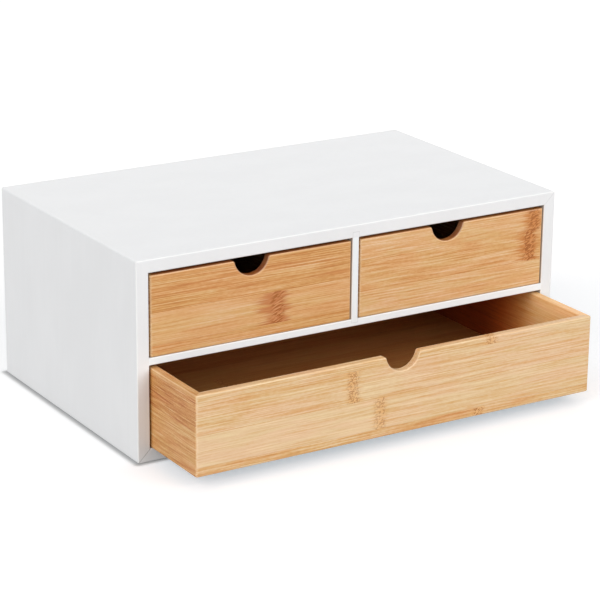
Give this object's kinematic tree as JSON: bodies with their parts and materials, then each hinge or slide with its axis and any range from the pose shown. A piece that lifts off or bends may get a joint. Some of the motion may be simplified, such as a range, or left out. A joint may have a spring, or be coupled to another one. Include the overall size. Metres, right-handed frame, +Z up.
{
  "type": "desktop mini drawers",
  "caption": "Tabletop drawer organizer: white mitred case with small bamboo drawers above a full-width one, each front with a half-round finger notch.",
  "frame": {"origin": "centre of the case's underside, where it stands on the desk; the drawer that stands open is left out of that centre", "axes": "+X along the width to the viewer's right, -Y towards the front where the drawers open, +Z up"},
  "size_m": [0.33, 0.2585, 0.137],
  "materials": {
    "white_lacquer": "satin white lacquer on fibreboard",
    "white_hardboard": "thin white-faced hardboard",
    "brad_steel": "plain steel brads",
    "bamboo": "clear satin on flat-pressed bamboo strips",
    "bamboo_veneer": "clear satin on thin bamboo board"
  },
  "bodies": {
    "case": {"top_panel": "white_lacquer", "bottom_panel": "white_lacquer", "left_side": "white_lacquer", "right_side": "white_lacquer", "shelf": "white_lacquer", "divider": "white_lacquer", "back_panel": "white_hardboard", "back_panel_brads": "brad_steel"},
    "upper_left_drawer": {"upper_left_drawer_front": "bamboo", "upper_left_drawer_back": "bamboo", "upper_left_drawer_left_side": "bamboo", "upper_left_drawer_right_side": "bamboo", "upper_left_drawer_bottom": "bamboo_veneer"},
    "upper_right_drawer": {"upper_right_drawer_front": "bamboo", "upper_right_drawer_back": "bamboo", "upper_right_drawer_left_side": "bamboo", "upper_right_drawer_right_side": "bamboo", "upper_right_drawer_bottom": "bamboo_veneer"},
    "lower_drawer": {"lower_drawer_front": "bamboo", "lower_drawer_back": "bamboo", "lower_drawer_left_side": "bamboo", "lower_drawer_right_side": "bamboo", "lower_drawer_bottom": "bamboo_veneer"}
  },
  "joints": [
    {"name": "upper_left_drawer_slide", "type": "slide", "parent": "case", "child": "upper_left_drawer", "axis": [0, -1, 0], "range_m": [0, 0.15]},
    {"name": "upper_right_drawer_slide", "type": "slide", "parent": "case", "child": "upper_right_drawer", "axis": [0, -1, 0], "range_m": [0, 0.15]},
    {"name": "lower_drawer_slide", "type": "slide", "parent": "case", "child": "lower_drawer", "axis": [0, -1, 0], "range_m": [-0.059, 0.091]}
  ]
}
